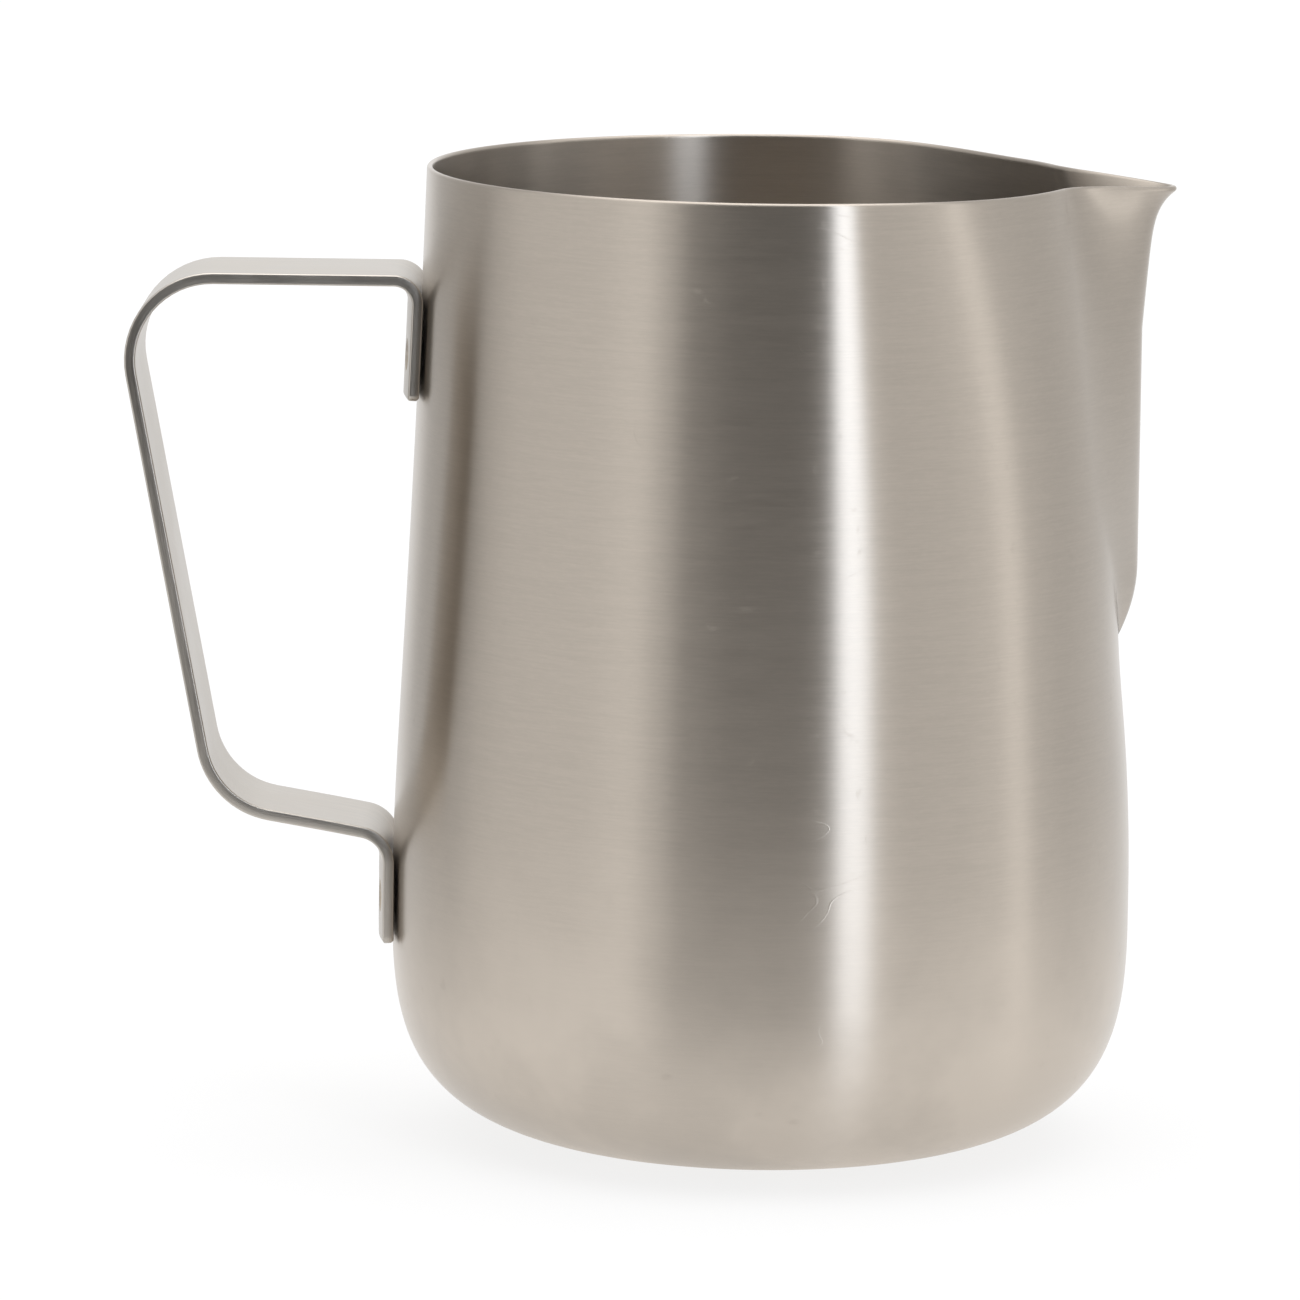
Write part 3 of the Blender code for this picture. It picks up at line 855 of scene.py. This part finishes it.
def tinted(tree, share, first, second):
    """One colour turning into another by a share; returns the colour output."""
    node = add_node(tree, "ShaderNodeMix", data_type="RGBA")
    node.clamp_factor = True
    join(tree, share, node.inputs["Factor"])
    for name, value in (("A", first), ("B", second)):
        socket = next(s for s in node.inputs if s.name == name and s.type == "RGBA")
        if hasattr(value, "is_linked"):
            join(tree, value, socket)
        else:
            socket.default_value = (*value, 1.0)
    return next(s for s in node.outputs if s.type == "RGBA")


def bump(tree, height, strength, distance, normal=None):
    """A Bump node; returns its normal."""
    node = add_node(tree, "ShaderNodeBump")
    join(tree, height, node.inputs["Height"])
    node.inputs["Strength"].default_value = strength
    node.inputs["Distance"].default_value = distance
    if normal is not None:
        join(tree, normal, node.inputs["Normal"])
    return node.outputs["Normal"]


def new_steel(name, uv_name, anisotropy):
    """A metallic material whose grain follows a UV map; returns it, its tree and its shader."""
    material = bpy.data.materials.new(name)
    material.use_nodes = True
    tree = material.node_tree
    shader = tree.nodes["Principled BSDF"]
    shader.inputs["Metallic"].default_value = 1.0
    shader.inputs["Anisotropic"].default_value = anisotropy
    if anisotropy:
        tangent = add_node(tree, "ShaderNodeTangent", direction_type="UV_MAP", uv_map=uv_name)
        join(tree, tangent.outputs["Tangent"], shader.inputs["Tangent"])
    return material, tree, shader


def jug_finish(colour):
    """Fine brushing round the jug, painted paler towards the base as a painted reflection of the floor,
    mottled there like wear, with a few scratches.
    """
    material, tree, shader = new_steel("brushed_jug_steel", "around", 0.97)
    vector, place, height = turned_vector(tree)
    lines = place_group(tree, brushing_group(), vector, Fineness=1.0, Depth=1.0)
    marks = place_group(tree, handling_group(), place, Spread=1.0)
    low = remap(tree, height, 0.004, 0.045, 1.0, 0.15)
    worn = arithmetic(tree, "MULTIPLY", marks.outputs["Cloud"], low)
    dark = tuple(0.965 * c for c in colour)
    light = tuple(min(1.0, 1.03 * c) for c in colour)
    base = tinted(tree, lines.outputs["Streak"], dark, light)
    # Paler steel: used for the painted reflection of the floor low down, and for the grain's flecks.
    pale = tuple(min(1.0, GLEAM_AND_FLECK_GAIN * c) for c in colour)
    # Painted reflection of the floor: the steel is painted paler towards the base, in a mottle like wear.
    foot = remap(tree, height, FLOOR_GLEAM_BOTTOM, FLOOR_GLEAM_TOP, 1.0, 0.0)
    mottle = arithmetic(tree, "MULTIPLY_ADD", marks.outputs["Cloud"], 0.8, 0.45)
    painted_gleam_and_wear = tinted(tree, arithmetic(tree, "MULTIPLY", foot, mottle), base, pale)
    flecked = tinted(tree, arithmetic(tree, "MULTIPLY", lines.outputs["Fleck"], 0.09), painted_gleam_and_wear, pale)
    join(tree, flecked, shader.inputs["Base Color"])
    rough = arithmetic(tree, "MULTIPLY_ADD", lines.outputs["Streak"], 0.02, 0.30)
    rough = arithmetic(tree, "MULTIPLY_ADD", worn, 0.05, rough)
    rough = arithmetic(tree, "MULTIPLY_ADD", marks.outputs["Spots"], 0.05, rough)
    join(tree, rough, shader.inputs["Roughness"])
    fine = bump(tree, lines.outputs["Height"], 0.10, 0.00005)
    scratched = bump(tree, marks.outputs["Scratch"], 0.12, 0.00004, fine)
    join(tree, scratched, shader.inputs["Normal"])
    return material


def strap_finish(colour):
    """Satin strip, brushed along its length, with rubbed streaks."""
    material, tree, shader = new_steel("satin_strap_steel", "strip", 0.35)
    vector = strip_vector(tree, "strip")
    lines = place_group(tree, brushing_group(), vector, Fineness=0.9, Depth=1.0)
    place = add_node(tree, "ShaderNodeTexCoord").outputs["Object"]
    marks = place_group(tree, handling_group(), place, Spread=1.4)
    dark = tuple(0.88 * c for c in colour)
    light = tuple(min(1.0, 1.07 * c) for c in colour)
    base = tinted(tree, lines.outputs["Streak"], dark, light)
    pale = tuple(min(1.0, 1.15 * c) for c in colour)
    wiped = arithmetic(tree, "MULTIPLY", marks.outputs["Cloud"], 0.4)
    join(tree, tinted(tree, wiped, base, pale), shader.inputs["Base Color"])
    rough = arithmetic(tree, "MULTIPLY_ADD", lines.outputs["Streak"], 0.05, 0.30)
    rough = arithmetic(tree, "MULTIPLY_ADD", marks.outputs["Cloud"], 0.06, rough)
    join(tree, rough, shader.inputs["Roughness"])
    fine = bump(tree, lines.outputs["Height"], 0.2, 0.00005)
    join(tree, bump(tree, marks.outputs["Scratch"], 0.15, 0.00004, fine), shader.inputs["Normal"])
    return material


def weld_finish(colour, tint, radius):
    """Dull pressed metal, straw at its edge where the heat ran out, with a grainy face."""
    material, tree, shader = new_steel("weld_steel", "disc", 0.0)
    node = add_node(tree, "ShaderNodeUVMap", uv_map="disc")
    reach = add_node(tree, "ShaderNodeVectorMath", operation="LENGTH")
    join(tree, node.outputs["UV"], reach.inputs[0])
    ring = remap(tree, reach.outputs["Value"], radius * 0.45, radius * 0.95, 0.0, 1.0)
    place = add_node(tree, "ShaderNodeTexCoord").outputs["Object"]
    marks = place_group(tree, handling_group(), place, Spread=4.0)
    grain = noise(tree, place, 2600.0, 3.0, 0.6)
    base = tinted(tree, ring, colour, tint)
    dull = tuple(0.7 * c for c in colour)
    join(tree, tinted(tree, marks.outputs["Cloud"], base, dull), shader.inputs["Base Color"])
    join(tree, remap(tree, grain, 0.3, 0.7, 0.36, 0.52), shader.inputs["Roughness"])
    join(tree, bump(tree, grain, 0.35, 0.00006), shader.inputs["Normal"])
    return material


# ---------------------------------------------------------------- the studio


# Brightness of the room at each bearing, in degrees round from -Y and growing towards +X.
ROOM = (
    (-180, 1.10),
    (-160, 0.95),
    (-142, 0.66),
    (-112, 0.62),
    (-100, 0.85),
    (-90, 0.95),
    (-60, 0.98),
    (-42, 1.14),
    (-33, 0.72),
    (-25, 0.22),
    (-8, 0.05),
    (13, 0.02),
    (21.5, 0.12),
    (25.8, 3.05),
    (31.5, 3.05),
    (36.5, 0.95),
    (45, 0.80),
    (62, 0.86),
    (78, 1.00),
    (88, 1.46),
    (97, 0.90),
    (112, 0.78),
    (140, 0.85),
    (180, 1.10),
)
ROOM_PEAK = 4.0
STRIP_LEVEL = 2.0
STRIP_TINT = (0.91, 1.0, 1.13)
CEILING_START = 0.66
CEILING_FULL = 0.95
BACKDROP = 0.95
ROOM_TOP = 2.6
CAMERA_PLACE = (0.0, -1.0, 0.21645)
CAMERA_YAW = math.radians(0.761)
CAMERA_PITCH = math.radians(9.051)
CAMERA_ROLL = math.radians(0.674)
CAMERA_LENS = 239.6
FLOOR_SIZE = 12.0
FLOOR_GLOW = 0.80
GLEAM_NEAR = 0.12
GLEAM_FAR = 0.27


def studio_world(light):
    """Soft light all round: a brightness for each bearing, its strip tinted cool, under an even ceiling."""
    world = bpy.data.worlds.new("studio")
    world.use_nodes = True
    tree = world.node_tree
    tree.nodes.clear()
    leave = add_node(tree, "ShaderNodeOutputWorld")
    way = add_node(tree, "ShaderNodeTexCoord").outputs["Generated"]
    parts = add_node(tree, "ShaderNodeSeparateXYZ")
    join(tree, way, parts.inputs[0])
    ahead = arithmetic(tree, "MULTIPLY", parts.outputs["Y"], -1.0)
    bearing = arithmetic(tree, "ARCTAN2", parts.outputs["X"], ahead)
    share = arithmetic(tree, "MULTIPLY_ADD", bearing, 0.5 / math.pi, 0.5)
    ramp = add_node(tree, "ShaderNodeValToRGB")
    ramp.color_ramp.interpolation = "EASE"
    elements = ramp.color_ramp.elements
    for index, (degrees, value) in enumerate(ROOM):
        position = degrees / 360 + 0.5
        element = elements[index] if index < 2 else elements.new(position)
        element.position = position
        tint = STRIP_TINT if value > STRIP_LEVEL else (1.0, 1.0, 1.0)
        element.color = (*(value / ROOM_PEAK * part for part in tint), 1.0)
    join(tree, share, ramp.inputs["Fac"])
    around = stretched(tree, ramp.outputs["Color"], (ROOM_PEAK,) * 3)
    overhead = remap(tree, parts.outputs["Z"], CEILING_START, CEILING_FULL, 0.0, 1.0)
    seen = tinted(tree, overhead, around, (ROOM_TOP,) * 3)
    room = add_node(tree, "ShaderNodeBackground")
    join(tree, seen, room.inputs["Color"])
    room.inputs["Strength"].default_value = light
    plain = add_node(tree, "ShaderNodeBackground")
    plain.inputs["Color"].default_value = (BACKDROP, BACKDROP, BACKDROP, 1.0)
    mix = add_node(tree, "ShaderNodeMixShader")
    join(tree, add_node(tree, "ShaderNodeLightPath").outputs["Is Camera Ray"], mix.inputs["Fac"])
    join(tree, room.outputs[0], mix.inputs[1])
    join(tree, plain.outputs[0], mix.inputs[2])
    join(tree, mix.outputs[0], leave.inputs["Surface"])
    bpy.context.scene.world = world


def studio_floor(colour):
    """A wide pale floor that glows a little, which keeps shadows faint; gleams see only its middle."""
    mesh = bpy.data.meshes.new("floor")
    half = FLOOR_SIZE / 2
    corners = [(-half, -half, 0.0), (half, -half, 0.0), (half, half, 0.0), (-half, half, 0.0)]
    mesh.from_pydata(corners, [], [(0, 1, 2, 3)])
    floor = bpy.data.objects.new("floor", mesh)
    bpy.context.scene.collection.objects.link(floor)
    material = bpy.data.materials.new("pale_floor")
    material.use_nodes = True
    tree = material.node_tree
    shader = tree.nodes["Principled BSDF"]
    shader.inputs["Base Color"].default_value = (*colour, 1.0)
    shader.inputs["Roughness"].default_value = 0.8
    shader.inputs["Specular IOR Level"].default_value = 0.0
    shader.inputs["Emission Color"].default_value = (1.0, 1.0, 1.0, 1.0)
    shader.inputs["Emission Strength"].default_value = FLOOR_GLOW
    reach = add_node(tree, "ShaderNodeVectorMath", operation="LENGTH")
    join(tree, add_node(tree, "ShaderNodeTexCoord").outputs["Object"], reach.inputs[0])
    far = remap(tree, reach.outputs["Value"], GLEAM_NEAR, GLEAM_FAR, 0.0, 1.0)
    clear = add_node(tree, "ShaderNodeBsdfTransparent")
    mix = add_node(tree, "ShaderNodeMixShader")
    gleam = add_node(tree, "ShaderNodeLightPath").outputs["Is Glossy Ray"]
    join(tree, arithmetic(tree, "MULTIPLY", far, gleam), mix.inputs["Fac"])
    join(tree, shader.outputs[0], mix.inputs[1])
    join(tree, clear.outputs[0], mix.inputs[2])
    join(tree, mix.outputs[0], tree.nodes["Material Output"].inputs["Surface"])
    mesh.materials.append(material)


def studio_camera():
    """The camera, from its place, its turn, its tip and its small roll."""
    data = bpy.data.cameras.new("camera")
    data.lens = CAMERA_LENS
    data.sensor_width = 36.0
    data.clip_start = 0.05
    data.clip_end = 50.0
    camera = bpy.data.objects.new("camera", data)
    bpy.context.scene.collection.objects.link(camera)
    right = np.array([math.cos(CAMERA_YAW), math.sin(CAMERA_YAW), 0.0])
    level = np.array([-math.sin(CAMERA_YAW), math.cos(CAMERA_YAW), 0.0])
    forward = level * math.cos(CAMERA_PITCH) - np.array([0.0, 0.0, math.sin(CAMERA_PITCH)])
    upward = level * math.sin(CAMERA_PITCH) + np.array([0.0, 0.0, math.cos(CAMERA_PITCH)])
    rolled_right = right * math.cos(CAMERA_ROLL) + upward * math.sin(CAMERA_ROLL)
    rolled_up = upward * math.cos(CAMERA_ROLL) - right * math.sin(CAMERA_ROLL)
    matrix = Matrix.Identity(4)
    for column, axis in enumerate((rolled_right, rolled_up, -forward, CAMERA_PLACE)):
        for row in range(3):
            matrix[row][column] = float(axis[row])
    camera.matrix_world = matrix
    bpy.context.scene.camera = camera


# ---------------------------------------------------------------- operators and panel


def finished_piece(name, shape, uv_name, material, slot, *nodes):
    """Put a shaped piece in the scene with its finish, on the frame, in place of its CAD nodes."""
    points, faces, uvs = shape
    piece = put_mesh(name, points, faces, uvs, uv_name)
    piece.data.materials.append(material)
    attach(piece, "root")
    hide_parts(*nodes)
    return piece


class PITCHER_OT_jug_body(bpy.types.Operator):
    """Build the brushed jug with its spout"""

    bl_idname = "pitcher.jug_body"
    bl_label = "Build jug"

    def execute(self, context):
        """Make the jug's skin and its finish."""
        jug = context.scene.pitcher_jug
        material = jug_finish(tuple(context.scene.pitcher_finish.jug_colour))
        finished_piece("jug_body", shape_jug(jug), "around", material, "body_shell", "body_shell")
        return {"FINISHED"}


class PITCHER_OT_handle_band(bpy.types.Operator):
    """Build the bent strap of the handle"""

    bl_idname = "pitcher.handle_band"
    bl_label = "Build handle"

    def execute(self, context):
        """Make the strap and its finish."""
        shape = shape_strap(context.scene.pitcher_jug, context.scene.pitcher_strap)
        material = strap_finish(tuple(context.scene.pitcher_finish.strap_colour))
        finished_piece("handle_band", shape, "strip", material, "handle_strap", "handle_strap")
        return {"FINISHED"}


class PITCHER_OT_weld_marks(bpy.types.Operator):
    """Build the marks of the four spot welds"""

    bl_idname = "pitcher.weld_marks"
    bl_label = "Build weld marks"

    def execute(self, context):
        """Make the four marks, which share one finish."""
        scene = context.scene
        jug, strap, finish = scene.pitcher_jug, scene.pitcher_strap, scene.pitcher_finish
        material = weld_finish(tuple(finish.weld_colour), tuple(finish.tint_colour), strap.weld_radius)
        for node, place in weld_places(jug, strap).items():
            finished_piece(f"{node}_mark", shape_weld(jug, strap, *place), "disc", material, "welds", node)
        return {"FINISHED"}


class PITCHER_OT_stage(bpy.types.Operator):
    """Set up the floor, the soft light and the camera"""

    bl_idname = "pitcher.stage"
    bl_label = "Build studio"

    def execute(self, context):
        """Make the studio."""
        studio = context.scene.pitcher_studio
        studio_world(studio.light)
        studio_floor(tuple(studio.floor_colour))
        studio_camera()
        context.scene.view_settings.view_transform = "Standard"
        return {"FINISHED"}


class PITCHER_PT_panel(bpy.types.Panel):
    """Sizes, colours and build buttons"""

    bl_idname = "PITCHER_PT_panel"
    bl_label = "Milk frothing pitcher"
    bl_space_type = "VIEW_3D"
    bl_region_type = "UI"
    bl_category = "Pitcher"

    def draw(self, context):
        """List the settings and the operators."""
        scene = context.scene
        for group in (scene.pitcher_jug, scene.pitcher_strap, scene.pitcher_finish, scene.pitcher_studio):
            box = self.layout.box()
            for name in group.__annotations__:
                box.prop(group, name)
        for operator in OPERATORS:
            self.layout.operator(operator.bl_idname)


SETTINGS = {
    "pitcher_jug": JugSettings,
    "pitcher_strap": StrapSettings,
    "pitcher_finish": FinishSettings,
    "pitcher_studio": StudioSettings,
}
OPERATORS = (PITCHER_OT_jug_body, PITCHER_OT_handle_band, PITCHER_OT_weld_marks, PITCHER_OT_stage)


def register():
    """Register the classes and hang the settings on the scene."""
    for name, group in SETTINGS.items():
        bpy.utils.register_class(group)
        setattr(bpy.types.Scene, name, PointerProperty(type=group))
    for kind in (*OPERATORS, PITCHER_PT_panel):
        bpy.utils.register_class(kind)


def unregister():
    """Take it all away again."""
    for kind in (PITCHER_PT_panel, *reversed(OPERATORS)):
        bpy.utils.unregister_class(kind)
    for name, group in reversed(SETTINGS.items()):
        delattr(bpy.types.Scene, name)
        bpy.utils.unregister_class(group)


def main():
    """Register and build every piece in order."""
    register()
    pitcher = bpy.ops.pitcher
    for build in (pitcher.jug_body, pitcher.handle_band, pitcher.weld_marks, pitcher.stage):
        if build() != {"FINISHED"}:
            raise RuntimeError("a piece was not finished")


if __name__ == "__main__":
    main()
